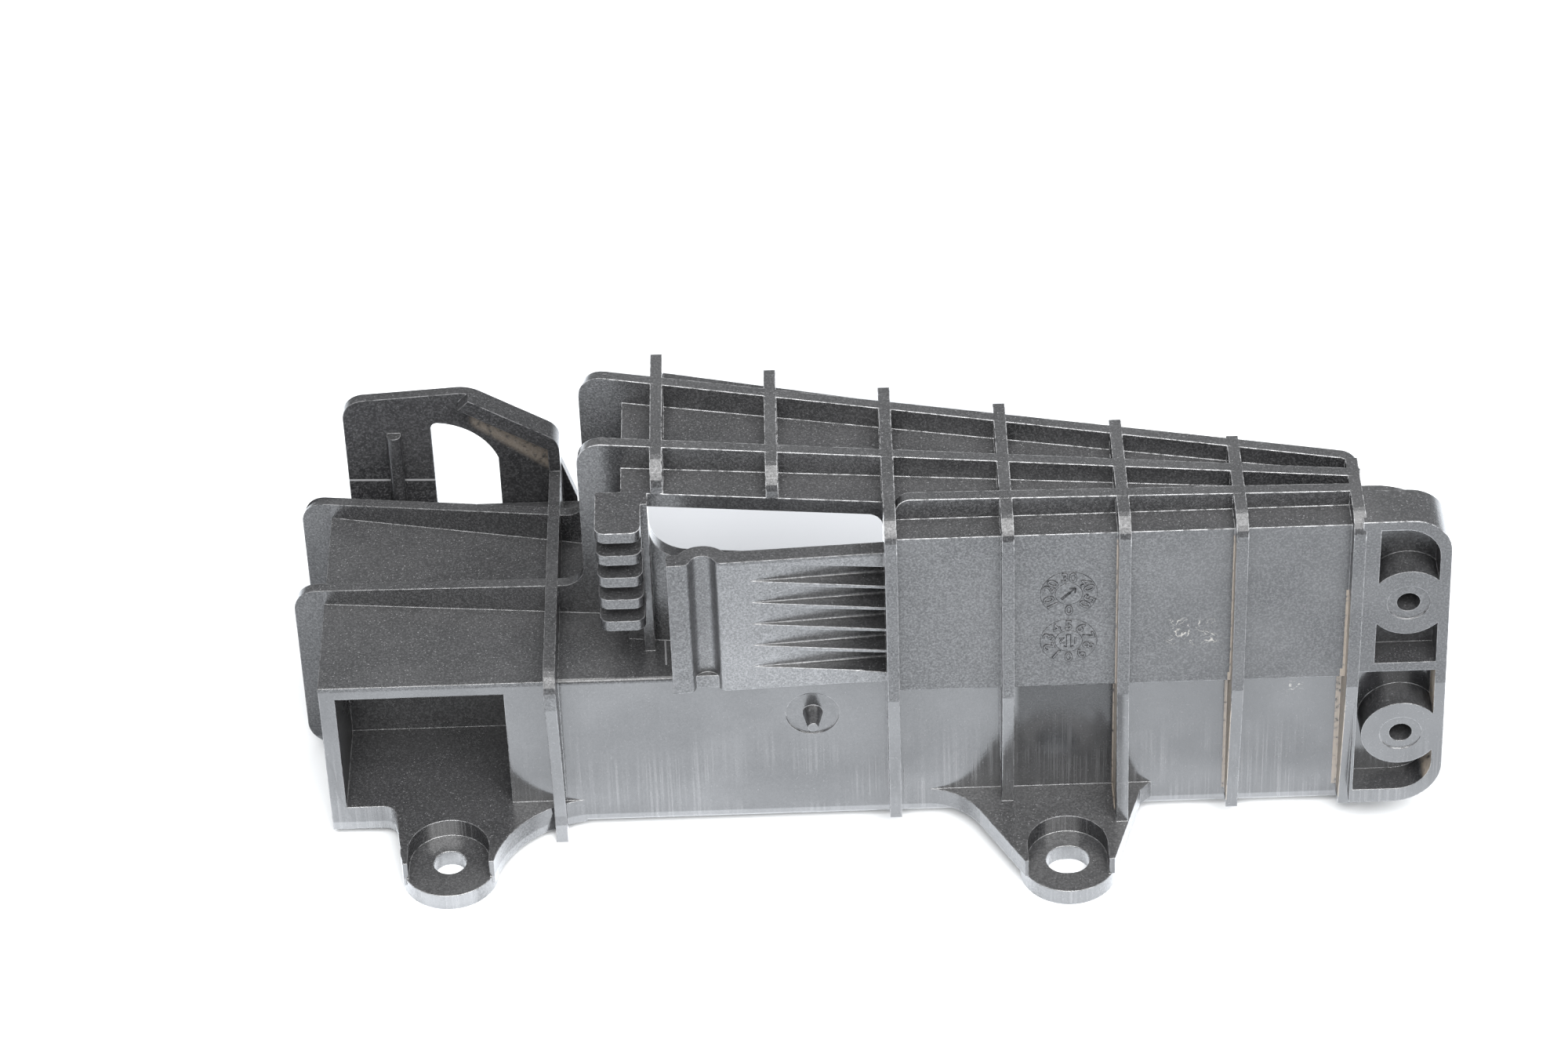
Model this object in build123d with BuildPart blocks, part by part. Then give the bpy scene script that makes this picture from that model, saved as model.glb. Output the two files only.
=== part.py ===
"""Injection moulded plastic housing: one hollow, waffle-ribbed moulding.

X runs right along the front, Y runs back, Z runs up, and Z = 0 is the plane the two screw lugs
stand on. While the shape is drawn, X = 0 is the middle of the rib at the step between the low box
and the tall block, and Y = 0 is the front of the tall ribs. The finished part has its origin under
the screw hole of the round lug. All lengths are millimetres.
"""
from build123d import *
from math import cos, radians, sin, tan
import os

# ---- walls, ribs and levels -------------------------------------------------------------------
wall = 2.5               # wall of the hollow shell
rib = 2.1                # thickness of the upright ribs
pitch = 20.0             # spacing of the upright ribs
ribs_long = 7            # ribs counted right of the step rib
first_front_rib = 3      # first rib that also runs down the front face
foot_z = 1.6             # lower edge of the walls and of the lug webs
rib_foot_z = 3.2         # lower end of the front ribs
lower_z = 35.1           # top of the low box and of the lower block
step_z = 34.2            # underside of the tall block where it overhangs the lower wall
upper_z = 68.55          # top of the tall block
plate = 2.1              # thickness of the three crossing flanges
rise_left = 5.05         # flange height over the tall block at its left end
rise_right = 3.05        # flange height over the tall block at its right end
low_rise_left = 2.7      # flange height over the low box at its left end
low_rise_right = 6.3     # flange height over the low box at the step rib

# ---- outline in plan --------------------------------------------------------------------------
box_left = -41.2         # left wall of the low box
lower_front = 7.25       # front of the lower wall and of the low box
upper_front = 3.0        # front of the tall block
tall_left = 13.7         # left wall of the tall block
recess_left_y = 18.2     # front of the set-back wall at the left end of the tall block
recess_right_y = 13.3    # front of the set-back wall where it meets the first front rib
back_left_y = 55.8       # open back edge at the left of the tall block
back_right_y = 19.4      # open back edge at the right rib
back_step_x = 5.5        # right face of the web that closes the low box at the back
hook_front = 61.0        # front of the upright wall behind the low box
hook_wall = 2.0          # its thickness
box_back = 57.4          # back edge of the roof of the low box
ledge_z = 29.5           # top of the lower ledge behind that roof
roof_round = 0.8         # rounding of the front edges of the lower block

# ---- crossing flanges -------------------------------------------------------------------------
flange_1_y = 8.35        # front of the first flange, parallel to the front
flange_2_y = 26.3        # front of the second flange on the step rib
flange_2_turn = 5.65     # its turn in plan, degrees
flange_3_y = 46.2        # front of the third flange on the step rib
flange_3_turn = 11.75    # its turn in plan, degrees
flange_out_x = -46.7     # left edge of the flanges beside the low box
flange_low_z = 1.7       # lower end of the flanges beside the low box
flange_up_x = 6.0        # left edge of the flanges beside the tall block
flange_end_round = 3.2   # rounding of the third flange at the last rib
flange_round = 4.5       # rounding of the flange corners and of the hollow corner at the step

# ---- upright ribs -----------------------------------------------------------------------------
rib_end_y = 50.7         # rear end of the first rib; the last ends at the open back edge
rib_nip = 0.5            # small bevel at the rear end of a rib
rib_round = 4.0          # rounding where a rib turns from the top to the front
rib_foot_y = 3.9         # front of the rib at its foot
gusset_x = 5             # rib that runs out on the slotted lug
gusset_foot_y = -2.9     # front of that rib at its foot
step_rib_knee_y = 5.0    # front of the step rib at its knee
step_rib_knee_z = 5.0    # height of the knee
step_rib_foot_y = 3.6    # front of the step rib at its foot
step_rib_foot = 9.0      # back of the foot of the step rib

# ---- low box and its pocket -------------------------------------------------------------------
pocket_left = -38.4      # left wall of the pocket
pocket_right = -8.6      # right wall of the pocket
pocket_top = 32.5        # roof of the pocket
pocket_depth = 20.7      # depth of the pocket
floor_z = 6.8            # floor of the pocket and top of the lugs

# ---- right end box ----------------------------------------------------------------------------
end_right = 156.7        # right face of the end box
end_top = 71.0           # top of the end box
end_low = 6.5            # underside of the end box
end_front = 0.4          # front face of the end box and of its bosses
end_round = 7.0          # outer rounding of the upper corner
end_low_round = 8.5      # outer rounding of the lower corner
end_in_round = 6.2       # inner rounding of the corners
end_wall = 1.9           # wall round the pockets
end_floor = 3.0          # wall under the lower pocket
end_web = 2.6            # wall between the last rib and the upper pocket
end_lip = 0.3            # how far the back rim stands out at the right
end_lip_round = 14.0     # upper corner rounding of the back rim
end_lean = 0.9           # how far the right face leans in toward the top
end_deep = 6.0           # depth of the pockets
end_back = 9.0           # back of the end box
bar_low = 37.3           # underside of the bar between the pockets
bar_high = 39.2          # top of the bar between the pockets
boss_x = 149.0           # axis of both bosses
boss_high_z = 52.8       # axis of the upper boss
boss_low_z = 22.7        # axis of the lower boss
boss_r = 7.0             # outer radius of a boss
boss_hole_r = 2.0        # pilot hole radius
boss_hole_deep = 8.0     # pilot hole depth
boss_dish_r = 3.7        # radius of the dished ring round the pilot hole
boss_dish = 0.25         # depth of the dish

# ---- round lug, under the low box -------------------------------------------------------------
lug_x = -19.7            # hole centre
lug_y = -4.2
lug_r = 8.6              # radius of the lug end
lug_floor = 3.2          # thickness under the screw head
head_r = 7.2             # clearance for the screw head
lug_hole_r = 2.95        # screw hole radius
lug_cut_y = -8.0         # front end of the raised web beside the screw head
lug_left_x = -29.4       # left edge of the lug web
lug_bay_x = -31.8        # where the lug web turns into the sill of the pocket
lug_flare_x = 4.5        # right end of the flared web

# ---- slotted lug, under the tall block --------------------------------------------------------
slot_x = 90.0            # slot centre
slot_end_x = 90.2        # centre of the rounded end
slot_end_y = -8.05
slot_y = -8.5
slot_end_r = 8.6         # radius of the lug end
slot_long = 7.7          # slot length
slot_wide = 6.9          # slot width
slot_head_r = 7.1        # clearance for the screw head
slot_web_z = 3.2         # underside of the flared web
slot_cut_y = -12.4       # front end of the raised web beside the screw head
slot_flare_left = 66.0   # left end of the flared web
slot_bend_out = 7.4      # how far left of the lug the flare turns straight toward it
slot_bend_y = 1.3
slot_flare_right = 105.8 # right end of the flared web

# ---- window, tongue and louvres ---------------------------------------------------------------
window_left = 18.2       # left edge of the window
window_low = 54.1        # sill of the window
window_high = 65.7       # head of the window
window_round = 6.4       # rounding of the lower left corner
window_nick = 2.4        # rounding of the upper right corner
tongue_left = 21.5       # left edge of the tongue
tongue_low = 34.5        # lower edge of the tongue
tongue_y = 2.6           # front of the tongue carried on to the step rib
tongue_turn = -2.8       # its turn in plan, degrees
tongue_thick = 3.0       # thickness of the tongue
tongue_top = 63.6        # top of the tongue
tongue_pad = 2.4         # extra thickness behind the louvres
groove_x = 27.6          # centre of the half-round groove
groove_r = 2.3           # radius of the groove
groove_back = 2.7        # wall round the back of the groove
groove_blend = 1.4       # rounding of the groove's lips
louvres = 5              # number of louvres
louvre_tip_x = 35.5      # sharp left tip of a louvre
louvre_tip_z = 39.75     # tip height of the lowest louvre
louvre_pitch = 4.87      # spacing of the louvres
louvre_fall = 3.1        # fall of a louvre sill from tip to root
louvre_gap = 4.1         # height of a louvre at its root
louvre_deep = 4.0        # depth of a louvre at its root
louvre_cove = 0.7        # hollow rounding at the back of the floor
louvre_rise = 0.36       # slope of the upper edge near the tip

# ---- comb -------------------------------------------------------------------------------------
comb_left = 9.3          # left edge of the comb
comb_right = 17.2        # right edge of the comb
comb_front = 7.0         # front of the teeth
teeth = 5                # number of teeth
tooth = 2.1              # thickness of a tooth
tooth_pitch = 4.95       # spacing of the teeth
tooth_round = 1.8        # rounding of the tooth corners
comb_web = 2.5           # web behind the teeth
spine_left = 16.5        # upright strip beside the window
spine_right = 18.3
spine_front = 14.8

# ---- upright wall behind the low box ----------------------------------------------------------
hook_left = -38.0        # left edge
hook_top_left = 56.8     # top edge at the left
hook_top = 58.2          # top edge where it starts to fall
hook_bend_x = -14.8      # where the top edge starts to fall
hook_bend_round = 7.0    # rounding of that bend
hook_shoulder = 48.4     # height where the falling edge meets the step rib
hook_tail_x = 3.6        # where it runs out to the right of the step rib
hook_round = 4.0         # rounding of its other corners
rim_deep = 4.6           # depth of the rim along the falling edge
rim_thick = 2.0          # thickness of that rim
dee_left = -22.2         # left edge of the D-shaped opening
dee_right = -10.3        # right edge of the opening
dee_top = 51.5           # upper edge of the opening
dee_shoulder = 43.0      # height where its right edge turns over
dee_round = 1.2          # rounding of its upper left corner
post_x = -29.0           # axis of the small post
post_r = 1.3             # radius of the post
post_top = 49.4          # top of the post

# ---- gate mark --------------------------------------------------------------------------------
gate_x = 45.7            # centre of the gate mark
gate_z = 25.7
gate_r = 4.75            # radius of the sunk disc
gate_deep = 0.3          # depth of the disc
gate_stub = 4.0          # length of the torn stub
gate_root_r = 1.8        # stub radius at the disc
gate_tip_r = 0.9         # stub radius at its end

last_x = ribs_long * pitch
right_x = last_x + rib / 2
first_x = first_front_rib * pitch - rib / 2
far = back_left_y * 2    # clears the back of everything
plate_top_left = upper_z + rise_left
plate_top_right = upper_z + rise_right
low_top_left = lower_z + low_rise_left
low_top_right = lower_z + low_rise_right


def slanted(y_on_step, turn):
    """Upright plane turned in plan, seen from the front, crossing the step rib at y_on_step."""
    a = radians(turn)
    return Plane(origin=(0, y_on_step, 0), x_dir=(cos(a), -sin(a), 0), z_dir=(-sin(a), -cos(a), 0))


def top_of_flanges(x):
    """Height of the flange and rib tops over the tall block."""
    start = flange_up_x + flange_round
    return plate_top_left + (plate_top_right - plate_top_left) * (x - start) / (last_x - start)


def top_over_box(x):
    """Height of the flange tops over the low box."""
    return low_top_right + (low_top_right - low_top_left) * x / -box_left


def back_edge(x):
    """Open back edge of the tall block in plan."""
    return back_left_y + (back_right_y - back_left_y) * (x - back_step_x) / (right_x - back_step_x)


def rib_end(x):
    """Rear end of a rib in plan."""
    return rib_end_y + (back_right_y - rib_end_y) * (x - pitch) / (last_x - pitch)


def recess_front(x):
    """Front of the set-back wall in plan."""
    return recess_left_y + (recess_right_y - recess_left_y) * (x - tall_left) / (first_x - tall_left)


def round_corners(*corners):
    """Round the corners of the sketch being drawn that lie nearest to the given points."""
    for point, radius in corners:
        fillet(vertices().sort_by_distance(point)[0], radius=radius)


def prism(points, low, high, mode=Mode.ADD):
    """Upright prism over a plan outline."""
    with BuildSketch(Plane.XY.offset(low)) as plan:
        with BuildLine():
            Polyline(*points, close=True)
        make_face()
    extrude(plan.sketch, amount=high - low, mode=mode)


def slab(x0, x1, y0, y1, z0, z1, mode=Mode.ADD):
    """Plain block between two corners."""
    prism([(x0, y0), (x1, y0), (x1, y1), (x0, y1)], z0, z1, mode)


def upright(points, x, thick=rib):
    """Rib standing across the part: an outline in Y and Z, centred on x."""
    with BuildSketch(Plane.YZ.offset(x - thick / 2)) as side:
        with BuildLine():
            Polyline(*points, close=True)
        make_face()
    extrude(side.sketch, amount=thick)


def corner(centre_y, centre_z, radius, steps=6):
    """Points of a quarter round that turns a rib from its front to its top."""
    turns = [radians(180 - 90 * n / steps) for n in range(steps + 1)]
    return [(centre_y + radius * cos(a), centre_z + radius * sin(a)) for a in turns]


def crossing_flange(y_on_step, turn, end_round=0):
    """Flange crossing both blocks, with a hollow corner where it climbs to the tall block."""
    stretch = 1 / cos(radians(turn))
    rise_x = flange_up_x - flange_round
    with BuildSketch(slanted(y_on_step, turn)) as front:
        with BuildLine():
            outline = [
                (flange_out_x, flange_low_z),
                (flange_out_x, top_over_box(box_left)),
                (flange_up_x, top_over_box(rise_x)),
                (flange_up_x, top_of_flanges(flange_up_x)),
                (right_x, top_of_flanges(right_x)),
                (right_x, foot_z),
                (box_left + wall, foot_z),
                (box_left + wall, flange_low_z),
            ]
            Polyline(*[(x * stretch, z) for x, z in outline], close=True)
        face = make_face()
        bends = face.vertices().sort_by(Axis.X)
        left = [v for v in bends if v.X < box_left * stretch]
        step = [v for v in bends if abs(v.X - flange_up_x * stretch) < rib]
        fillet(left + step, radius=flange_round)
        if end_round:
            round_corners(((right_x * stretch, top_of_flanges(right_x)), end_round))
    extrude(front.sketch, amount=-plate)


with BuildPart() as moulding:
    # --- solid envelope of the lower block and the low box, with rounded front edges ---
    prism([(0, lower_front), (right_x, lower_front), (right_x, back_right_y),
           (back_step_x, back_left_y), (back_step_x, box_back), (0, box_back)], foot_z, lower_z)
    front_edges = moulding.edges().filter_by(Axis.X).group_by(Axis.Y)[0]
    fillet(front_edges, radius=roof_round)
    prism([(box_left, lower_front), (0, lower_front), (0, box_back), (box_left, box_back)], foot_z, lower_z)
    prism([(box_left, box_back), (back_step_x, box_back), (hook_tail_x, hook_front + hook_wall),
           (box_left, hook_front + hook_wall)], foot_z, ledge_z)

    # --- solid envelope of the tall block ---
    prism([(tall_left, recess_left_y), (first_x, recess_right_y), (first_x, upper_front),
           (right_x, upper_front), (right_x, back_right_y), (pitch, back_edge(pitch)),
           (tall_left, flange_3_y + plate / 2 - tall_left * tan(radians(flange_3_turn)))], step_z, upper_z)

    # --- three crossing flanges ---
    with BuildSketch(Plane.XZ.offset(-flange_1_y)):
        with BuildLine():
            Polyline((first_x + rib, step_z), (first_x + rib, top_of_flanges(first_x)),
                     (right_x, top_of_flanges(right_x)), (right_x, step_z), close=True)
        front_flange = make_face()
        fillet(front_flange.vertices().group_by(Axis.X)[0].sort_by(Axis.Y)[-1], radius=rib_round * 2 / 3)
    extrude(amount=-plate)
    crossing_flange(flange_2_y, flange_2_turn)
    crossing_flange(flange_3_y, flange_3_turn, flange_end_round)

    # --- ribs over the top; from the third on they also run down the front ---
    for n in range(1, ribs_long + 1):
        x = n * pitch
        top = top_of_flanges(x)
        tip = rib_end(x)
        if n < first_front_rib:
            start = recess_front(x)
            nose = top - upper_z
            upright(corner(start + nose, upper_z, nose) + [(tip, top), (tip, lower_z),
                    (start + wall, lower_z), (start + wall, upper_z)], x)
        else:
            foot_y = gusset_foot_y if n == gusset_x else rib_foot_y
            foot = floor_z if n == gusset_x else rib_foot_z
            bevel = rib_round / 2 if n == ribs_long else rib_nip
            upright([(lower_front + wall, foot), (foot_y, foot), (0, step_z)]
                    + corner(rib_round, top - rib_round, rib_round)
                    + [(tip - bevel, top), (tip, top - bevel), (tip, step_z), (lower_front + wall, step_z)], x)

    # --- step rib, standing on the same plane as the lugs ---
    upright([(step_rib_foot, foot_z), (step_rib_foot, 0), (step_rib_foot_y, 0),
             (step_rib_knee_y, step_rib_knee_z)]
            + corner(rib_round, low_top_right - rib_round, rib_round)
            + [(hook_front + hook_wall, low_top_right), (hook_front + hook_wall, foot_z)], 0)

    # --- hollow out the shell from below and behind ---
    prism([(box_left + wall, lower_front + wall), (right_x - rib, lower_front + wall),
           (right_x - rib, far), (back_step_x, far), (back_step_x, back_left_y - wall * 2),
           (back_step_x - wall, back_left_y - wall * 2), (back_step_x - wall, box_back - wall),
           (box_left + wall, box_back - wall)], -foot_z, lower_z - wall, Mode.SUBTRACT)
    prism([(box_left + wall, box_back - wall * 2), (back_step_x - wall, box_back - wall * 2),
           (back_step_x - wall, hook_front), (box_left + wall, hook_front)],
          -foot_z, ledge_z - wall, Mode.SUBTRACT)
    prism([(tall_left + wall, recess_front(tall_left) + wall), (first_x + rib, recess_right_y + wall),
           (first_x + rib, lower_front + wall), (right_x - rib, lower_front + wall),
           (right_x - rib, far), (tall_left + wall, far)],
          lower_z - wall * 2, upper_z - wall, Mode.SUBTRACT)
    slab(first_x + rib, right_x - rib, upper_front + wall, lower_front + wall * 2,
         step_z + wall, upper_z - wall, Mode.SUBTRACT)

    # --- upright wall behind the low box, with its falling edge ---
    with BuildSketch(Plane.XZ.offset(-hook_front)):
        with BuildLine():
            Polyline((hook_left, foot_z), (hook_left, hook_top_left), (hook_bend_x, hook_top),
                     (rib / 2, hook_shoulder), (rib / 2, low_top_right), (hook_tail_x, lower_z - rib),
                     (hook_tail_x, foot_z), close=True)
        make_face()
        round_corners(((hook_bend_x, hook_top), hook_bend_round),
                      ((hook_left, hook_top_left), hook_round), ((rib / 2, hook_shoulder), hook_round))
        with BuildLine():
            sides = Polyline((dee_right, dee_shoulder), (dee_right, ledge_z), (dee_left, ledge_z),
                             (dee_left, dee_top))
            RadiusArc(sides @ 1, sides @ 0, dee_top - dee_shoulder + hook_round)
        make_face(mode=Mode.SUBTRACT)
        round_corners(((dee_left, dee_top), dee_round))
    extrude(amount=-hook_wall)
    with BuildSketch(Plane.XZ.offset(-hook_front)):
        with BuildLine():
            Polyline((hook_bend_x, hook_top), (rib / 2, hook_shoulder), (rib / 2, low_top_right - rib),
                     (-rib / 2, low_top_right - rib), (-rib / 2, hook_shoulder - rim_thick),
                     (hook_bend_x - rim_thick, hook_top - rim_thick), close=True)
        make_face()
        round_corners(((rib / 2, hook_shoulder), hook_round))
    extrude(amount=rim_deep - hook_wall)
    with BuildSketch(Plane.XY.offset(ledge_z - wall)):
        with Locations((post_x, hook_front - post_r / 2)):
            Circle(post_r)
    extrude(amount=post_top - ledge_z + wall)

    # --- liner of the front pocket ---
    slab(box_left + wall / 2, pocket_right + wall, lower_front, lower_front + pocket_depth + wall,
         foot_z, lower_z - wall / 2)

    # --- right end box: rounded frame, pockets, bosses ---
    with BuildSketch(Plane.XZ.offset(-end_back)):
        with BuildLine():
            Polyline((right_x - rib / 4, end_low), (end_right, end_low), (end_right - end_lean, end_top),
                     (right_x - rib / 4, end_top), close=True)
        make_face()
        round_corners(((end_right, end_low), end_low_round), ((end_right - end_lean, end_top), end_round))
    extrude(amount=end_back - end_front)
    with BuildSketch(Plane.XZ.offset(-flange_1_y)):
        with BuildLine():
            Polyline((last_x, end_low), (end_right + end_lip, end_low), (end_right + end_lip, end_top),
                     (last_x, end_top), close=True)
        make_face()
        round_corners(((end_right + end_lip, end_low), end_low_round + end_lip),
                      ((end_right + end_lip, end_top), end_lip_round))
    extrude(amount=-plate)
    with BuildSketch(Plane.XZ):
        with BuildLine():
            Polyline((right_x, end_low + end_floor), (end_right - end_wall, end_low + end_floor),
                     (end_right - end_lean - end_wall, end_top - end_wall),
                     (right_x + end_web, end_top - end_wall),
                     (right_x + end_web, bar_low), (right_x, bar_low), close=True)
        hollow = make_face()
        fillet(hollow.vertices().sort_by(Axis.X)[-2:], radius=end_in_round)
        with Locations(((right_x + end_right) / 2, (bar_low + bar_high) / 2)):
            Rectangle(end_right - last_x, bar_high - bar_low, mode=Mode.SUBTRACT)
        with Locations((boss_x, boss_high_z), (boss_x, boss_low_z)):
            Circle(boss_r, mode=Mode.SUBTRACT)
    extrude(amount=-end_deep, mode=Mode.SUBTRACT)
    with BuildSketch(Plane.XZ):
        with Locations((boss_x, boss_high_z), (boss_x, boss_low_z)):
            Circle(boss_dish_r)
    extrude(amount=-end_front - boss_dish, mode=Mode.SUBTRACT)
    with BuildSketch(Plane.XZ):
        with Locations((boss_x, boss_high_z), (boss_x, boss_low_z)):
            Circle(boss_hole_r)
    extrude(amount=-end_front - boss_hole_deep, mode=Mode.SUBTRACT)

    # --- round lug with its flared web ---
    with BuildSketch(Plane.XY.offset(foot_z)):
        with BuildLine():
            start = Line((lug_bay_x, lower_front + wall), (lug_bay_x, lower_front))
            bend = RadiusArc(start @ 1, (lug_left_x, lower_front - wall), wall)
            side = Line(bend @ 1, (lug_x - lug_r + rib / 4, lug_cut_y))
            front = Line(side @ 1, (lug_x + lug_r - rib / 4, lug_cut_y))
            flare = ThreePointArc(front @ 1, (lug_x + lug_r * 1.6, lower_front - wall * 2),
                                  (lug_flare_x, lower_front))
            Polyline(flare @ 1, (lug_flare_x, lower_front + wall), start @ 0)
        make_face()
    extrude(amount=floor_z - foot_z)
    with BuildSketch():
        with Locations((lug_x, lug_y)):
            Circle(lug_r)
    extrude(amount=lug_floor)
    with BuildSketch(Plane.XY.offset(lug_floor)):
        with Locations((lug_x, lug_y)):
            Circle(lug_r)
        with Locations((lug_x, lug_cut_y - lug_r)):
            Rectangle(lug_r * 3, lug_r * 2, mode=Mode.SUBTRACT)
    extrude(amount=floor_z - lug_floor)

    # --- slotted lug with its flared web ---
    with BuildSketch(Plane.XY.offset(slot_web_z)):
        with BuildLine():
            side_x = slot_end_x - slot_end_r + rib / 3
            bend = Line((side_x - slot_bend_out, slot_bend_y), (side_x, slot_cut_y))
            flare = TangentArc(bend @ 0, (slot_flare_left, lower_front), tangent=(bend % 0) * -1)
            Polyline(bend @ 1, (slot_end_x + slot_end_r - rib / 3, slot_cut_y),
                     (slot_flare_right - rib, lower_front - rib), (slot_flare_right, lower_front),
                     (slot_flare_right, lower_front + wall), (slot_flare_left, lower_front + wall),
                     flare @ 1)
        make_face()
    extrude(amount=floor_z - slot_web_z)
    with BuildSketch():
        with Locations((slot_end_x, slot_end_y)):
            Circle(slot_end_r)
    extrude(amount=lug_floor)
    with BuildSketch(Plane.XY.offset(lug_floor)):
        with Locations((slot_end_x, slot_end_y)):
            Circle(slot_end_r)
        with Locations((slot_x, slot_cut_y - slot_end_r)):
            Rectangle(slot_end_r * 3, slot_end_r * 2, mode=Mode.SUBTRACT)
    extrude(amount=floor_z - lug_floor)

    # --- screw head clearances, open to the front, and the hole and the slot ---
    with BuildSketch(Plane.XY.offset(lug_floor)):
        with Locations((lug_x, lug_y)):
            Circle(head_r)
        with Locations((lug_x, lug_y - lug_r)):
            Rectangle(head_r * 2, lug_r * 2)
        with Locations((slot_x, slot_y + rib / 6)):
            Circle(slot_head_r)
        with Locations((slot_x, slot_y - slot_end_r)):
            Rectangle(slot_head_r * 2, slot_end_r * 2)
    extrude(amount=floor_z, mode=Mode.SUBTRACT)
    with BuildSketch():
        with Locations((lug_x, lug_y)):
            Circle(lug_hole_r)
        with Locations((slot_x, slot_y)):
            SlotOverall(slot_long, slot_wide)
    extrude(amount=floor_z, mode=Mode.SUBTRACT)

    # --- front pocket of the low box ---
    slab(pocket_left, pocket_right, -lower_front, lower_front + pocket_depth, floor_z, pocket_top,
         Mode.SUBTRACT)

    # --- window through the set-back wall ---
    with BuildSketch(Plane.XZ):
        with BuildLine():
            Polyline((window_left, window_low), (first_x, window_low), (first_x, window_high),
                     (window_left, window_high), close=True)
        make_face()
        round_corners(((window_left, window_low), window_round), ((first_x, window_high), window_nick))
    extrude(amount=-(recess_left_y + wall * 2), mode=Mode.SUBTRACT)

    # --- comb of rounded teeth in front of the set-back wall ---
    slab(comb_left, comb_right, recess_front(comb_right) - comb_web, recess_front(comb_right) + plate / 4,
         upper_z - tooth_pitch * (teeth - 1) - tooth, upper_z)
    slab(spine_left, spine_right, spine_front, recess_front(spine_right) + plate / 4, lower_z - wall / 2, upper_z)
    for n in range(teeth):
        with BuildSketch(Plane.XY.offset(upper_z - tooth_pitch * n - tooth)):
            with BuildLine():
                Polyline((comb_left, comb_front), (comb_right, comb_front),
                         (comb_right, recess_front(comb_right)), (comb_left, recess_front(comb_right)),
                         close=True)
            tooth_face = make_face()
            fillet(tooth_face.vertices().group_by(Axis.Y)[0], radius=tooth_round)
        extrude(amount=tooth)

    # --- tongue in front of the window: a strip with a rolled groove, its pad and its foot ---
    along = slanted(tongue_y, tongue_turn).x_dir
    tongue_end = first_x + rib / 2
    with BuildSketch(Plane(origin=(0, tongue_y, tongue_low), x_dir=along, z_dir=(0, 0, 1))):
        with Locations((groove_x, 0)):
            Circle(groove_r + groove_back)
        with Locations((tongue_left, 0)):
            Rectangle(tongue_end - tongue_left, tongue_thick, align=(Align.MIN, Align.MIN))
        with Locations((groove_x, -tongue_thick * 2)):
            Rectangle((groove_r + groove_back) * 3, tongue_thick * 4, mode=Mode.SUBTRACT)
        with Locations((groove_x, 0)):
            Circle(groove_r, mode=Mode.SUBTRACT)
        profile = vertices().group_by(Axis.Y)[0].sort_by(Axis.X)
        fillet(profile[1:3], radius=groove_blend)
    extrude(amount=tongue_top - tongue_low)
    with BuildSketch(Plane(origin=(0, tongue_y, tongue_low), x_dir=along, z_dir=(0, 0, 1))):
        with Locations((louvre_tip_x, tongue_thick / 2)):
            Rectangle(tongue_end - louvre_tip_x, tongue_thick / 2 + tongue_pad, align=(Align.MIN, Align.MIN))
    extrude(amount=tongue_top - rib - tongue_low)
    slab(tongue_left + rib, tongue_end, lower_front - rib, lower_front + wall, tongue_low, lower_z + rib)

    # --- louvres: recesses that open from a point and deepen toward the first front rib ---
    front_of_tongue = slanted(tongue_y, tongue_turn)
    tip_y = tongue_y + louvre_tip_x * along.Y
    root_y = tongue_y + first_x * along.Y
    with BuildPart(mode=Mode.PRIVATE) as louvre:
        with BuildSketch(Plane.YZ.offset(first_x)) as root:
            with BuildLine():
                low = louvre_tip_z - louvre_fall
                Polyline((-rib, low), (root_y + louvre_deep, low), (root_y + louvre_deep, low + pitch),
                         (-rib, low + pitch), close=True)
            section = make_face()
            fillet(section.vertices().group_by(Axis.Y)[0].sort_by(Axis.X)[-1], radius=louvre_cove)
        loft([root.sketch, Vertex(louvre_tip_x, tip_y, louvre_tip_z)], ruled=True)
        run = first_x - louvre_tip_x
        kink = louvre_gap / (louvre_rise + louvre_fall / run)
        with BuildSketch(front_of_tongue.offset(pitch)) as mouth:
            with BuildLine():
                Polyline((louvre_tip_x - rib, louvre_tip_z - pitch), (first_x + rib, louvre_tip_z - pitch),
                         (first_x + rib, louvre_tip_z - louvre_fall + louvre_gap),
                         (louvre_tip_x + kink, louvre_tip_z + kink * louvre_rise),
                         (louvre_tip_x - rib, louvre_tip_z - rib * louvre_rise), close=True)
            make_face()
        extrude(mouth.sketch, amount=-pitch * 2, mode=Mode.INTERSECT)
    with Locations(*[(0, 0, n * louvre_pitch) for n in range(louvres)]):
        add(louvre.part, mode=Mode.SUBTRACT)

    # --- gate mark: sunk disc with a torn stub ---
    with BuildSketch(Plane.XZ.offset(-lower_front)):
        with Locations((gate_x, gate_z)):
            Circle(gate_r)
    extrude(amount=-gate_deep, mode=Mode.SUBTRACT)
    with Locations(Plane(origin=(gate_x, lower_front + gate_deep, gate_z), z_dir=(0, -1, 0))):
        Cone(gate_root_r, gate_tip_r, gate_stub, align=(Align.CENTER, Align.CENTER, Align.MIN))

# --- carry the origin to the screw hole of the round lug ---
with BuildPart() as housing:
    with Locations((-lug_x, -lug_y, 0)):
        add(moulding.part)

housing.part.label = "housing"

os.makedirs("parts", exist_ok=True)
export_step(housing.part, "parts/housing.step")
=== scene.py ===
import bpy
from math import cos, pi, radians, sin
from mathutils import Matrix, Vector


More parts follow.
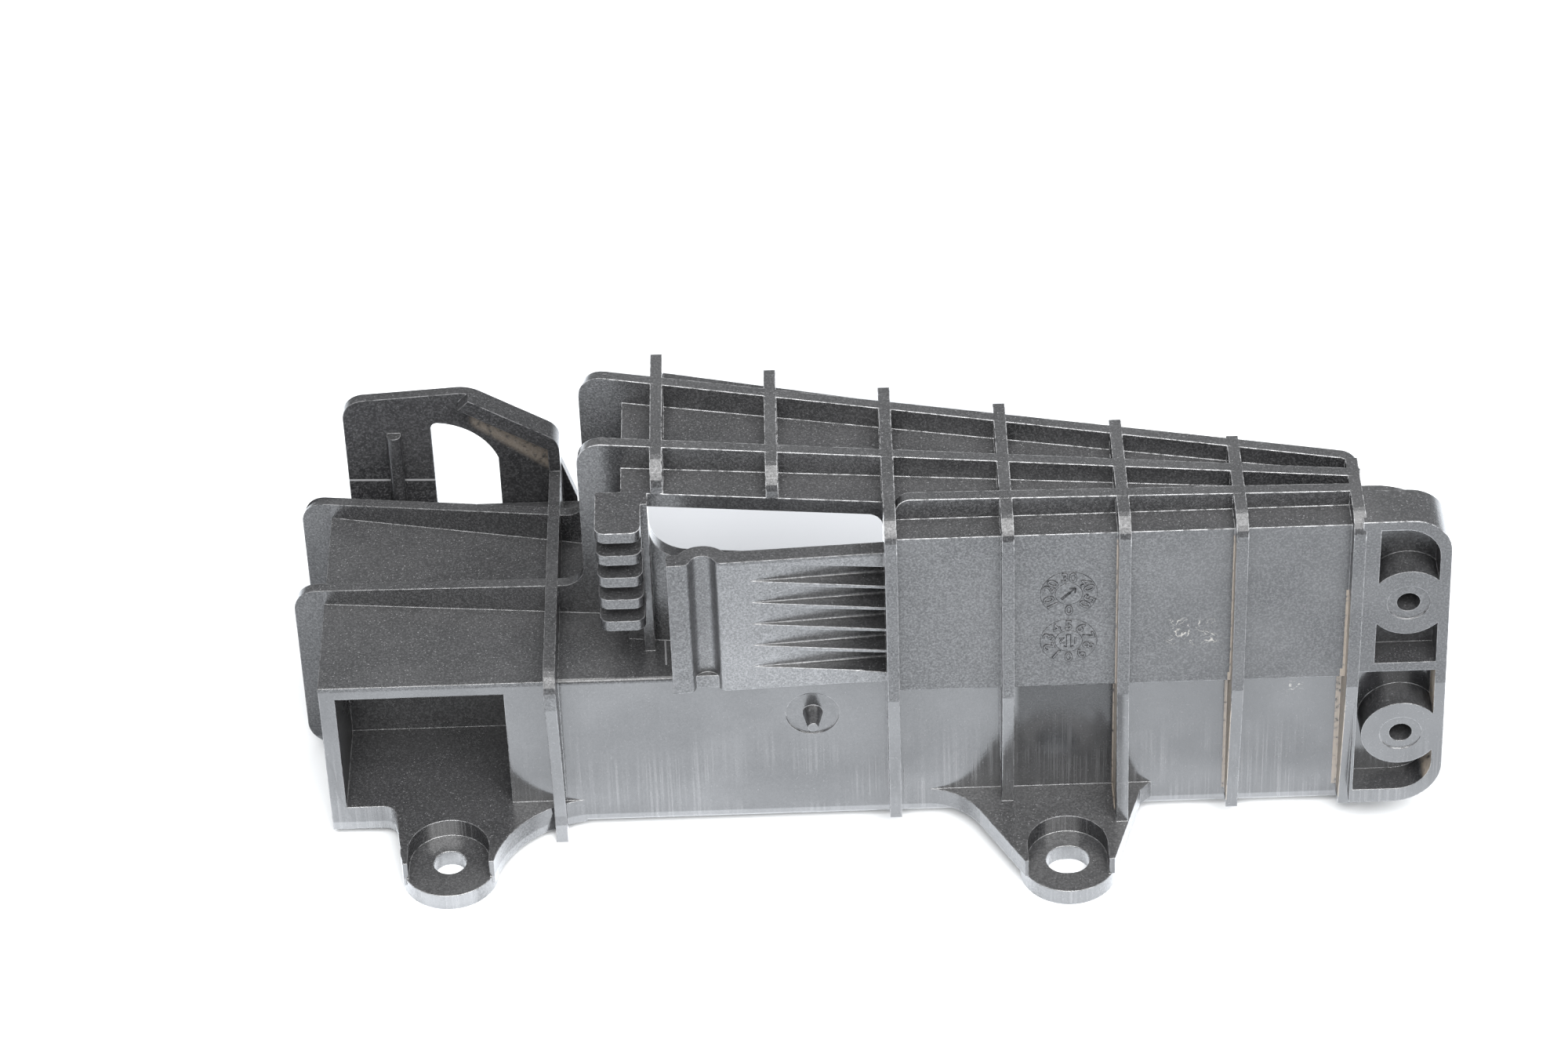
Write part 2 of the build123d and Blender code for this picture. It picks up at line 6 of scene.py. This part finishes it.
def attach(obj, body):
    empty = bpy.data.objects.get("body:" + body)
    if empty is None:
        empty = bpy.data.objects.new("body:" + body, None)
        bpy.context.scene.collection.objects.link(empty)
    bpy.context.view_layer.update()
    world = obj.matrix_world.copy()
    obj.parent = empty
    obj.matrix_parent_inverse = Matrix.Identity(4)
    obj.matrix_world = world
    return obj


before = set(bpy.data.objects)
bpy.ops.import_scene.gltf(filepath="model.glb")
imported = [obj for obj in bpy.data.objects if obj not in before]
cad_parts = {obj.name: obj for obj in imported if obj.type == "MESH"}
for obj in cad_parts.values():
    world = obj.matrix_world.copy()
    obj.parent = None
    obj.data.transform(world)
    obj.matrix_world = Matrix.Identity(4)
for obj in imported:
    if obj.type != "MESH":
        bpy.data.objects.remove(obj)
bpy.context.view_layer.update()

scene = bpy.context.scene
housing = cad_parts["housing"]

MM = 0.001
# places on the part, in millimetres of the shared frame
STEP_RIB = 19.7          # middle of the step rib
PITCH = 20.0             # spacing of the ribs
RIB = 2.1                # thickness of a rib
UPPER_FACE = 7.2         # front of the tall block
RIB_FRONT = 4.2          # front of the tall ribs
BOX_LEFT = -21.5         # left side of the low box
SILL_FACE = 11.5         # front of the low box
DECK = 35.1              # top of the low box
CREASE = 34.2            # height where the tall block overhangs the lower wall
ROOF = 68.55             # roof of the tall block
HOOK_WALL = 65.2         # front of the upright wall behind the low box
LUG_TOP = 3.2            # top of the lug rims
TONGUE_X = (41.0, 78.8)  # sides of the tongue
TONGUE_Z = (34.4, 63.0)  # foot and top of the tongue
TONGUE_BACK = 14.0       # back of the tongue's face
COMB_X = (28.6, 37.2)    # sides of the comb
COMB_Z = (36.3, 66.5)    # lowest and highest tooth
CLOCK_X = 110.3          # middle of both date clocks
CLOCK_Z = (55.2, 44.5)   # heights of the two date clocks
CLOCK_R = 4.87           # radius of a date clock
DIAL_R = 2.3             # radius of its inner disc
NUMBERS_R = 3.52         # radius on which its figures stand
NUMBERS_SIZE = 2.85      # size of those figures
INNER_SIZE = 1.9         # size of the two figures beside the lower arrow
PLATE_LIFT = 0.05        # how far a clock stands out of the wall
DIAL_LIFT = 0.12         # how far its inner disc stands out
MARK_LIFT = 0.20         # how far its figures stand out
RING_DROP = 0.03         # a dark ring of painted shade lies this much lower than its disc
SHADE_OUTLINE_DROP = 0.04       # the dark outline of painted shade lies this much lower than its figure
SHADE_OUTLINE = 0.09            # width of the dark outline of painted shade round a figure
THINNER = -0.03          # how far a figure's outline is moved outward, so it gets thinner
UPPER_SHAFT = (0.5, 0.22)  # widths of the upper arrow's shaft, lower half and whole
BARB = 0.30              # width of its barbs
LOWER_LINE = 0.14        # width of the lower arrow's strokes
LOWER_HALF = 0.36        # half the width of the lower arrow's shaft
EDGE = 0.28              # rounding that the moulded edges show
MARK_EDGE = 0.03         # rounding of the edges on the date clocks
GRAIN_DEEP = 0.03        # depth of the grain
IOR = 1.58               # refraction of the plastic
PLAIN_GLOSS = 0.31       # its gloss where no zone changes it
SHINY = 0.20             # what the low front and the tongue add to that

# strips of dust: rib that each lies left of, counted from the step rib, its width and its top
DUST_STRIPS = ((5, 0.2, 67), (6, 0.2, 67), (6, 0.5, 36), (7, 0.45, 54), (7, 0.85, 36))
DUST_FOOT = 5            # where the strips start
SLOPE_FALL = 0.787       # how steeply the rear wall's edge falls along X
SLOPE_DUST = (53.8, 55.8)   # where dust starts and is full below that edge, as heights at X = 0
SLOPE_X = (5.0, 19.6)    # sides of that dust
POCKET_X = (173.0, 175.5)   # range that holds the right wall of the end pockets
POCKET_DUST = (38.0, 37.0)  # heights where the dust on that wall ends and is full

# patches of scuffs: sides, softness of the sides, heights
SCUFFS = (((127.5, 136.0), 1.0, (43.0, 48.5)), ((148.8, 151.8), 0.6, (27.5, 34.0)))

# mould lines, by their points in X and Z, or in X and Y on the deck
SILL_LINE = ((-21.4, 19.2), (-20.3, 15.4), (-19.9, 9.7), (-17.8, 4.2))
HOOK_SEAM = ((-18.4, 38.8), (-2.0, 38.2))
DECK_CORNER = (39.6, 24.6)
DECK_SEAMS = (((21.0, 33.0), (29.0, 31.2)), ((33.3, 25.5), DECK_CORNER), (DECK_CORNER, (39.9, 15.0)))
SILL_WIDE, HOOK_WIDE, DECK_WIDE = 0.22, 0.28, 0.2

# colours of the plastic, of what lies on it, and of the painted light on it
DARK = (0.0065, 0.0066, 0.0070, 1)
CLOUDY = (0.013, 0.013, 0.0135, 1)
GRAINY = (0.026, 0.026, 0.027, 1)
BRUSHED = (0.05, 0.05, 0.051, 1)
# painted light: the lighter tone given to faces that face up
UPWARD_PAINTED_LIGHT = (0.024, 0.024, 0.0245, 1)
# painted highlights along the edges: below the roof, and from the roof upward
LOW_EDGE_HIGHLIGHT = (0.095, 0.095, 0.097, 1)
ROOF_EDGE_HIGHLIGHT = (0.26, 0.26, 0.265, 1)
FLECK = (0.12, 0.12, 0.123, 1)
TAN = (0.140, 0.118, 0.095, 1)
SCUFF = (0.20, 0.19, 0.17, 1)
MOULD_LINE = (0.004, 0.004, 0.004, 1)
SEAM = (0.13, 0.13, 0.133, 1)

# colours of the table: as the part mirrors it, as the camera sees it, and a painted shadow where the
# camera sees it through the window
TABLE = (0.87, 0.905, 0.95, 1)
TABLE_SEEN = (0.32, 0.325, 0.33, 1)
TABLE_PAINTED_SHADOW = (0.205, 0.21, 0.218, 1)
# sides and softness of that painted shadow, in the floor's own metres
SHADOW_PATCH_X, SHADOW_PATCH_Y, SHADOW_PATCH_SOFT = (-0.036, 0.046), (0.048, 0.142), 0.012


# ---------------------------------------------------------------- material helpers
class Graph:
    """Small writer of shader nodes; every method returns an output socket."""

    def __init__(self, name):
        self.mat = bpy.data.materials.new(name)
        self.mat.use_nodes = True
        self.nodes = self.mat.node_tree.nodes
        self.links = self.mat.node_tree.links
        self.shader = self.nodes["Principled BSDF"]

    def put(self, socket, value):
        if isinstance(value, bpy.types.NodeSocket):
            self.links.new(value, socket)
        else:
            socket.default_value = value

    def math(self, how, a, b=0.0):
        node = self.nodes.new("ShaderNodeMath")
        node.operation = how
        self.put(node.inputs[0], a)
        self.put(node.inputs[1], b)
        return node.outputs[0]

    def all_of(self, *masks):
        out = masks[0]
        for mask in masks[1:]:
            out = self.math("MULTIPLY", out, mask)
        return out

    def any_of(self, *masks):
        out = masks[0]
        for mask in masks[1:]:
            out = self.math("MAXIMUM", out, mask)
        return out

    def add(self, value, mask, share):
        """The value plus a share of the mask."""
        return self.math("ADD", value, self.math("MULTIPLY", mask, share))

    def ramp(self, value, low, high):
        """0 below low, 1 above high, smooth between; falls instead when low is above high."""
        node = self.nodes.new("ShaderNodeMapRange")
        node.interpolation_type = "SMOOTHSTEP"
        rising = low < high
        self.put(node.inputs["Value"], value)
        node.inputs["From Min"].default_value = low if rising else high
        node.inputs["From Max"].default_value = high if rising else low
        node.inputs["To Min"].default_value = 0.0 if rising else 1.0
        node.inputs["To Max"].default_value = 1.0 if rising else 0.0
        return node.outputs["Result"]

    def between(self, value, low, high, soft=0.1):
        above = self.ramp(value, low - soft, low + soft)
        below = self.ramp(value, high + soft, high - soft)
        return self.all_of(above, below)

    def mix(self, mask, a, b):
        node = self.nodes.new("ShaderNodeMix")
        node.data_type = "RGBA"
        self.put(node.inputs["Factor"], mask)
        self.put(node.inputs["A"], a)
        self.put(node.inputs["B"], b)
        return node.outputs["Result"]

    def tint(self, colour, mask, share, to):
        """The colour, mixed with another by a share of the mask."""
        return self.mix(self.math("MULTIPLY", mask, share), colour, to)

    def noise(self, where, scale, detail=3.0, stretch=(1, 1, 1), distortion=0.0):
        node = self.nodes.new("ShaderNodeTexNoise")
        node.inputs["Scale"].default_value = scale
        node.inputs["Detail"].default_value = detail
        node.inputs["Distortion"].default_value = distortion
        vector = self.nodes.new("ShaderNodeVectorMath")
        vector.operation = "MULTIPLY"
        self.put(vector.inputs[0], where)
        vector.inputs[1].default_value = stretch
        self.put(node.inputs["Vector"], vector.outputs[0])
        return node.outputs["Fac"]

    def split(self, vector):
        node = self.nodes.new("ShaderNodeSeparateXYZ")
        self.put(node.inputs[0], vector)
        return node.outputs

    def near_line(self, u, v, start, end, width):
        """1 on a straight line between two points of the (u, v) plane, 0 beside it."""
        (u0, v0), (u1, v1) = start, end
        length = ((u1 - u0) ** 2 + (v1 - v0) ** 2) ** 0.5
        cu, cv = (u1 - u0) / length, (v1 - v0) / length
        du, dv = self.math("SUBTRACT", u, u0), self.math("SUBTRACT", v, v0)
        along = self.math("ADD", self.math("MULTIPLY", du, cu), self.math("MULTIPLY", dv, cv))
        across = self.math("ADD", self.math("MULTIPLY", du, -cv), self.math("MULTIPLY", dv, cu))
        off = self.math("ABSOLUTE", across)
        return self.all_of(self.ramp(off, width, width / 2), self.between(along, 0, length))


class Plastic(Graph):
    """Spark-eroded black plastic. Masks are 1 where their name holds; places are in millimetres."""

    def __init__(self, name):
        super().__init__(name)
        coords = self.nodes.new("ShaderNodeTexCoord")
        scaled = self.nodes.new("ShaderNodeVectorMath")
        scaled.operation = "SCALE"
        self.put(scaled.inputs[0], coords.outputs["Object"])
        scaled.inputs["Scale"].default_value = 1 / MM
        self.mm = scaled.outputs[0]
        self.x, self.y, self.z = self.split(self.mm)
        self.facings(coords)
        self.patterns()

    def facings(self, coords):
        nx, ny, nz = self.split(coords.outputs["Normal"])
        self.facing_front = self.ramp(ny, -0.75, -0.9)
        self.facing_up = self.ramp(nz, 0.75, 0.9)
        self.facing_left = self.ramp(nx, -0.75, -0.9)
        self.rounded = self.all_of(self.ramp(ny, -0.25, -0.45), self.ramp(nz, 0.25, 0.45))
        self.crown = self.all_of(self.ramp(ny, -0.45, -0.68), self.ramp(nz, 0.45, 0.68))
        below_crease = self.ramp(self.z, CREASE + 0.2, CREASE - 0.2)
        before_sill = self.ramp(self.y, SILL_FACE + 1, SILL_FACE)
        self.low_front = self.all_of(self.facing_front, below_crease, before_sill)

    def patterns(self):
        """Grain, weak on the lower wall, and the upright brush marks low on the front."""
        self.grain = self.noise(self.mm, 2.6, detail=2.0)
        self.fine = self.noise(self.mm, 4.2, detail=1.0)
        self.coarse = self.noise(self.mm, 0.9, detail=2.0)
        self.cloud = self.noise(self.mm, 0.07, detail=3.0)
        self.cloudy = self.ramp(self.cloud, 0.35, 0.7)
        self.grain_depth = self.math("SUBTRACT", 1.0, self.math("MULTIPLY", self.low_front, 0.75))
        upright = self.noise(self.mm, 1.0, detail=4.0, stretch=(2.8, 1.0, 0.035), distortion=0.3)
        strokes = self.ramp(upright, 0.42, 0.72)
        patchy = self.ramp(self.noise(self.mm, 0.08, detail=2.0), 0.34, 0.56)
        self.brushed = self.all_of(self.low_front, self.ramp(self.z, 27, 9), patchy, strokes)

    def edges(self, edge):
        """Rounds the edges and finds them for a painted highlight along each edge."""
        bevel = self.nodes.new("ShaderNodeBevel")
        bevel.samples = 6
        bevel.inputs["Radius"].default_value = edge * MM
        geometry = self.nodes.new("ShaderNodeNewGeometry")
        alike = self.nodes.new("ShaderNodeVectorMath")
        alike.operation = "DOT_PRODUCT"
        self.put(alike.inputs[0], bevel.outputs[0])
        self.put(alike.inputs[1], geometry.outputs["Normal"])
        turned = self.ramp(alike.outputs["Value"], 0.985, 0.9)
        # edges where the bevel turns the normal, broken by noise, get the painted highlight
        self.rim = self.all_of(turned, self.ramp(self.coarse, 0.30, 0.62))
        self.round_normal = bevel.outputs[0]

    def find_dust(self):
        patches = [self.dust_strip(*strip) for strip in DUST_STRIPS]
        patches += [self.dust_below_slope(), self.dust_in_pocket()]
        self.dust = self.all_of(self.any_of(*patches), self.ramp(self.coarse, 0.22, 0.5))

    def dust_strip(self, rib, wide, top):
        """In the corner left of a rib."""
        side = STEP_RIB + rib * PITCH - RIB / 2
        return self.all_of(self.between(self.x, side - wide, side + 0.12, 0.08),
                           self.between(self.z, DUST_FOOT, top),
                           self.ramp(self.y, SILL_FACE + 1, SILL_FACE + 0.1),
                           self.ramp(self.y, RIB_FRONT + 0.2, RIB_FRONT + 0.8))

    def dust_below_slope(self):
        """Thin dust under the sloping edge of the rear wall."""
        slope = self.add(self.z, self.x, SLOPE_FALL)
        wedge = self.all_of(self.ramp(slope, *SLOPE_DUST), self.between(self.x, *SLOPE_X, 0.8),
                            self.facing_front, self.between(self.y, HOOK_WALL - 0.5, HOOK_WALL + 0.3, 0.1))
        return self.math("MULTIPLY", wedge, 0.45)

    def dust_in_pocket(self):
        """On the right wall of the lower end pocket."""
        height = self.ramp(self.z, *POCKET_DUST)
        return self.all_of(self.facing_left, self.between(self.x, *POCKET_X), height)

    def scuffs(self):
        """Curly threads in two patches on the right of the front."""
        curls = self.noise(self.mm, 0.33, detail=2.0, distortion=1.6)
        thread = self.all_of(self.ramp(curls, 0.47, 0.5), self.ramp(curls, 0.53, 0.5))
        patches = [self.all_of(self.between(self.x, *sides, soft), self.between(self.z, *heights, 0.8))
                   for sides, soft, heights in SCUFFS]
        broken = self.ramp(self.coarse, 0.42, 0.6)
        return self.all_of(thread, self.any_of(*patches), self.facing_front, broken)

    def sill_line(self):
        """Parting line down the left of the low box's front."""
        on_sill = self.all_of(self.facing_front, self.between(self.y, SILL_FACE - 0.5, SILL_FACE + 0.5))
        return self.any_of(*(self.all_of(on_sill, self.near_line(self.x, self.z, start, end, SILL_WIDE))
                             for start, end in zip(SILL_LINE, SILL_LINE[1:])))

    def seams(self):
        """Light mould seams on the rear wall and on the deck."""
        on_hook = self.all_of(self.facing_front, self.between(self.y, HOOK_WALL - 0.4, HOOK_WALL + 0.4))
        on_deck = self.all_of(self.facing_up, self.between(self.z, DECK - 0.3, DECK + 0.3))
        return self.any_of(self.all_of(on_hook, self.near_line(self.x, self.z, *HOOK_SEAM, HOOK_WIDE)),
                           *(self.all_of(on_deck, self.near_line(self.x, self.y, *seam, DECK_WIDE))
                             for seam in DECK_SEAMS))

    def colour(self):
        out = self.tint(DARK, self.cloudy, 0.6, CLOUDY)
        grains = self.ramp(self.grain, 0.42, 0.68)
        out = self.tint(out, self.all_of(grains, self.grain_depth), 0.6, GRAINY)
        out = self.tint(out, self.brushed, 0.5, BRUSHED)
        # painted light: faces that face up are made lighter
        out = self.tint(out, self.facing_up, 0.25, UPWARD_PAINTED_LIGHT)
        # painted highlight along the edges
        out = self.tint(out, self.rim, 0.75, self.rim_colour())
        out = self.mix(self.flecks(), out, FLECK)
        out = self.tint(out, self.dust, 0.8, TAN)
        out = self.tint(out, self.scuffs(), 0.55, SCUFF)
        out = self.tint(out, self.sill_line(), 0.8, MOULD_LINE)
        return self.tint(out, self.seams(), 0.7, SEAM)

    def rim_colour(self):
        """Painted highlight along the edges, lightest from the roof upward."""
        return self.mix(self.ramp(self.z, ROOF - 1.2, ROOF - 0.6), LOW_EDGE_HIGHLIGHT, ROOF_EDGE_HIGHLIGHT)

    def flecks(self):
        """Light flecks of dust, most on what faces up."""
        fleck = self.ramp(self.noise(self.mm, 3.4, detail=1.0, stretch=(1.0, 0.9, 1.1)), 0.66, 0.74)
        return self.all_of(fleck, self.add(0.22, self.facing_up, 0.18))

    def gloss(self):
        """Brightest low on the front, on the tongue and on the lug rims, dull on the rear wall."""
        tongue = self.all_of(self.between(self.x, *TONGUE_X),
                             self.ramp(self.y, TONGUE_BACK + 0.5, TONGUE_BACK - 0.5),
                             self.between(self.z, *TONGUE_Z))
        shiny = self.any_of(self.low_front, self.math("MULTIPLY", tongue, self.ramp(self.x, 46.5, 51.0)))
        out = self.add(PLAIN_GLOSS, shiny, SHINY)
        for mask, more in (*self.front_zones(tongue), *self.upward_zones(), *self.end_zones()):
            out = self.add(out, mask, more)
        return self.math("MULTIPLY", self.math("MULTIPLY", out, self.sparkle()), self.clouding())

    def front_zones(self, tongue):
        """Masks on the front, each with what it adds to the gloss."""
        lug_bay = self.all_of(self.low_front, self.between(self.x, CLOCK_X - 8.7, CLOCK_X + 9.5, 0.5))
        return ((self.all_of(self.low_front, self.ramp(self.z, 14, 6)), 0.14),
                (self.all_of(tongue, self.ramp(self.z, 48, 40)), 0.10),
                (self.ramp(self.z, LUG_TOP + 0.2, LUG_TOP - 0.1), 0.36),
                (lug_bay, -0.20),
                (self.all_of(lug_bay, self.ramp(self.z, 20, 26)), -0.10))

    def upward_zones(self):
        """The same for what faces up: flanges over the roof, the front of the deck, teeth of the comb."""
        deck = self.all_of(self.ramp(self.y, 24.0, 12.0), self.ramp(self.z, DECK + 1.4, DECK + 0.9))
        comb = self.all_of(self.between(self.x, *COMB_X), self.between(self.z, *COMB_Z))
        return ((self.all_of(self.facing_up, self.ramp(self.z, ROOF + 1.0, ROOF + 2.0)), 0.22),
                (self.all_of(self.facing_up, deck), 0.12),
                (self.all_of(self.facing_up, comb), -0.18))

    def end_zones(self):
        """The same for the right end, the rear, the rounded edges and the left side."""
        return ((self.ramp(self.x, 105.0, 150.0), -0.03),
                (self.ramp(self.y, 60.0, 61.0), -0.22),
                (self.rounded, -0.20),
                (self.crown, 0.14),
                (self.ramp(self.x, BOX_LEFT + 0.1, BOX_LEFT - 0.2), -0.10))

    def sparkle(self):
        """Gloss that varies with the grain, less so towards the right end."""
        grains = self.math("SUBTRACT", self.math("ADD", self.fine, self.grain), 1.0)
        fading = self.math("SUBTRACT", 1.0, self.math("MULTIPLY", self.ramp(self.x, 116, 136), 0.6))
        return self.math("ADD", 1.0, self.all_of(grains, self.grain_depth, fading))

    def clouding(self):
        """Gloss that varies softly over large areas."""
        return self.add(1.0, self.math("SUBTRACT", self.cloud, 0.5), 0.35)

    def roughness(self):
        out = self.add(0.09, self.grain_depth, 0.18)
        for mask, more in ((self.rounded, 0.10), (self.cloudy, 0.05),
                           (self.brushed, 0.12), (self.dust, 0.4)):
            out = self.add(out, mask, more)
        return out

    def relief(self):
        bump = self.nodes.new("ShaderNodeBump")
        bump.inputs["Strength"].default_value = 0.8
        bump.inputs["Distance"].default_value = GRAIN_DEEP * MM
        height = self.math("MULTIPLY", self.grain, self.grain_depth)
        self.put(bump.inputs["Height"], self.add(height, self.brushed, 0.3))
        self.put(bump.inputs["Normal"], self.round_normal)
        return bump.outputs[0]


def plastic(name, shine=1.0, edge=EDGE):
    g = Plastic(name)
    g.edges(edge)
    g.find_dust()
    g.put(g.shader.inputs["Base Color"], g.colour())
    g.put(g.shader.inputs["Specular IOR Level"], g.math("MULTIPLY", g.gloss(), shine))
    g.put(g.shader.inputs["Roughness"], g.roughness())
    g.put(g.shader.inputs["Normal"], g.relief())
    g.shader.inputs["IOR"].default_value = IOR
    return g.mat


black = plastic("black_plastic")
mark_black = plastic("black_plastic_marks", edge=MARK_EDGE)
# nearly glossless copy that paints shade: the dark rings, figure outlines and arrow strokes of the date
# clocks
painted_shade_black = plastic("black_plastic_painted_shade", shine=0.05, edge=MARK_EDGE)
housing.data.materials.clear()
housing.data.materials.append(black)


# ---------------------------------------------------------------- date clocks
def to_face(centre_z, lift):
    """Puts the XY plane of a flat drawing on the front of the tall block."""
    turn = Matrix.Rotation(pi / 2, 4, "X")
    return Matrix.Translation((CLOCK_X * MM, (UPPER_FACE - lift) * MM, centre_z * MM)) @ turn


def linked(name, data):
    obj = bpy.data.objects.new(name, data)
    scene.collection.objects.link(obj)
    return obj


def disc(radius, lift, centre_z, material):
    bpy.ops.mesh.primitive_cylinder_add(vertices=96, radius=radius * MM, depth=lift * MM)
    obj = bpy.context.object
    obj.data.transform(to_face(centre_z, lift / 2))
    obj.data.materials.append(material)
    return obj


def text_mesh(text, size, lift, grow):
    """A solid figure, its outline moved outward by grow."""
    data = bpy.data.curves.new("figure", "FONT")
    data.offset = grow * MM
    data.body = text
    data.size = size * MM
    data.align_x, data.align_y = "CENTER", "CENTER"
    data.extrude = lift / 2 * MM
    data.resolution_u = 3
    obj = bpy.data.objects.new("figure", data)
    scene.collection.objects.link(obj)
    bpy.context.view_layer.update()
    mesh = bpy.data.meshes.new_from_object(obj.evaluated_get(bpy.context.evaluated_depsgraph_get()))
    bpy.data.objects.remove(obj)
    return mesh


def outlined(text, size, centre_z, turn, radius=0.0, shift=(0.0, 0.0)):
    """A raised figure on a circle, its head turned outward, with a fine dark outline of painted shade
    round it.
    """
    out = []
    for lift, grow, material in ((MARK_LIFT, THINNER, mark_black),
                                 (MARK_LIFT - SHADE_OUTLINE_DROP, SHADE_OUTLINE, painted_shade_black)):
        mesh = text_mesh(text, size, lift, grow)
        place = Matrix.Rotation(-radians(turn), 4, "Z") @ Matrix.Translation((0, radius * MM, 0))
        moved = Matrix.Translation((shift[0] * MM, shift[1] * MM, 0))
        mesh.transform(to_face(centre_z, lift / 2) @ moved @ place)
        mesh.materials.clear()
        mesh.materials.append(material)
        out.append(linked("figure", mesh))
    return out


def bar(start, end, width, centre_z):
    """Dark straight stroke of painted shade between two points of the clock's own plane."""
    a, b = Vector(start), Vector(end)
    side = (b - a).orthogonal().normalized() * width / 2
    corners = [a + side, b + side, b - side, a - side]
    points = [(c.x * MM, c.y * MM, h * MM) for h in (-MARK_LIFT / 2, MARK_LIFT / 2) for c in corners]
    faces = [(3, 2, 1, 0), (4, 5, 6, 7)] + [(n, (n + 1) % 4, (n + 1) % 4 + 4, n + 4) for n in range(4)]
    mesh = bpy.data.meshes.new("bar")
    mesh.from_pydata(points, [], faces)
    mesh.transform(to_face(centre_z, MARK_LIFT / 2))
    mesh.materials.append(painted_shade_black)
    return linked("bar", mesh)


def join(name, parts):
    bpy.ops.object.select_all(action="DESELECT")
    for part in parts:
        part.select_set(True)
    bpy.context.view_layer.objects.active = parts[0]
    bpy.ops.object.join()
    obj = bpy.context.object
    obj.name = name
    obj.data.name = name
    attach(obj, "root")


def clock_plate(centre_z):
    """Raised disc with an inner dial, each in a fine dark ring of painted shade."""
    out = []
    for radius, ring, lift in ((CLOCK_R, 0.1, PLATE_LIFT), (DIAL_R, 0.12, DIAL_LIFT)):
        out.append(disc(radius + ring, lift - RING_DROP, centre_z, painted_shade_black))
        out.append(disc(radius, lift, centre_z, mark_black))
    return out


def upper_clock(centre_z):
    """Tens from 0 to 50, with an arrow that points to the upper right."""
    pieces = clock_plate(centre_z)
    for n, text in enumerate(("0", "10", "20", "30", "40", "50")):
        pieces += outlined(text, NUMBERS_SIZE, centre_z, 180 + 60 * n, NUMBERS_R)
    tail, head = Vector((-1.3, -1.15)), Vector((1.15, 1.3))
    thick_end = (tail + head) / 2 + Vector((0.3, 0.3))
    thick, thin = UPPER_SHAFT
    pieces.append(bar(tail, thick_end, thick, centre_z))
    pieces.append(bar(tail, head, thin, centre_z))
    for barb in ((-1.1, -0.1), (-0.1, -1.1)):
        pieces.append(bar(head, head + Vector(barb), BARB, centre_z))
    join("date_clock_upper", pieces)


def lower_clock(centre_z):
    """Ones from 0 to 9, with a hollow arrow that points down between a 2 and a 1."""
    pieces = clock_plate(centre_z)
    for n in range(10):
        pieces += outlined(str(n), NUMBERS_SIZE, centre_z, 180 + 36 * n, NUMBERS_R)
    top, foot = Vector((0, 1.45)), Vector((0, -1.35))
    for side in (-1, 1):
        edge = Vector((side * LOWER_HALF, 0))
        barb = Vector((side * 0.45, 0.3))
        pieces.append(bar(top + edge, foot + edge, LOWER_LINE, centre_z))
        pieces.append(bar(foot + edge, foot + edge + barb, LOWER_LINE, centre_z))
    half = Vector((LOWER_HALF + LOWER_LINE / 2, 0))
    pieces.append(bar(top - half, top + half, LOWER_LINE, centre_z))
    pieces += outlined("2", INNER_SIZE, centre_z, 180, shift=(-1.2, 0.2))
    pieces += outlined("1", INNER_SIZE, centre_z, 180, shift=(1.15, 0.2))
    join("date_clock_lower", pieces)


upper_clock(CLOCK_Z[0])
lower_clock(CLOCK_Z[1])


# ---------------------------------------------------------------- floor and light
def floor():
    """Pale table, darker as the camera sees it than as the part mirrors it, with a painted shadow where
    the camera sees it through the window.
    """
    bpy.ops.mesh.primitive_plane_add(size=6, location=(0.06, 0, 0))
    obj = bpy.context.object
    obj.name = "floor"
    g = Graph("white_table")
    g.shader.inputs["Roughness"].default_value = 0.9
    g.shader.inputs["Specular IOR Level"].default_value = 0.0
    coords = g.nodes.new("ShaderNodeTexCoord")
    x, y, _ = g.split(coords.outputs["Object"])
    # painted shadow on the floor where it shows through the window
    shadow_patch = g.all_of(g.between(x, *SHADOW_PATCH_X, SHADOW_PATCH_SOFT), g.between(y, *SHADOW_PATCH_Y, SHADOW_PATCH_SOFT))
    rays = g.nodes.new("ShaderNodeLightPath")
    seen = g.mix(shadow_patch, TABLE_SEEN, TABLE_PAINTED_SHADOW)
    g.put(g.shader.inputs["Base Color"], g.mix(rays.outputs["Is Camera Ray"], TABLE, seen))
    obj.data.materials.append(g.mat)


def area(name, where, aim, size, power):
    data = bpy.data.lights.new(name, "AREA")
    data.shape = "RECTANGLE"
    data.size, data.size_y = size
    data.energy = power
    obj = linked(name, data)
    obj.location = where
    obj.rotation_euler = (Vector(aim) - Vector(where)).to_track_quat("-Z", "Y").to_euler()


def surroundings():
    world = bpy.data.worlds.new("world")
    scene.world = world
    world.use_nodes = True
    background = world.node_tree.nodes["Background"]
    background.inputs["Color"].default_value = (0.94, 0.97, 1, 1)
    background.inputs["Strength"].default_value = 0.65


floor()
area("key", where=(0.35, -1.0, 1.35), aim=(0.07, 0.02, 0.03), size=(2.2, 1.2), power=200)
area("top", where=(0.0, 0.25, 1.7), aim=(0.07, 0.02, 0.0), size=(1.6, 0.9), power=45)
surroundings()


# ---------------------------------------------------------------- camera
def camera():
    """Place, direction and lens as fitted to the photograph."""
    data = bpy.data.cameras.new("camera")
    data.sensor_fit = "HORIZONTAL"
    data.sensor_width = 36
    data.lens = 116.36
    data.clip_end = 20
    obj = linked("camera", data)
    place = Matrix.Translation((0.06842, -0.65844, 0.62193))
    down, roll, turn = radians(39.490), radians(-2.247), radians(-0.578)
    ahead = Vector((sin(turn) * cos(down), cos(turn) * cos(down), -sin(down)))
    right = Vector((cos(turn), -sin(turn), 0))
    up = right.cross(ahead)
    right_rolled = right * cos(roll) + up * sin(roll)
    up_rolled = up * cos(roll) - right * sin(roll)
    frame_of = Matrix((right_rolled, up_rolled, -ahead)).transposed().to_4x4()
    obj.matrix_world = place @ frame_of
    scene.camera = obj


camera()
scene.view_settings.view_transform = "Standard"
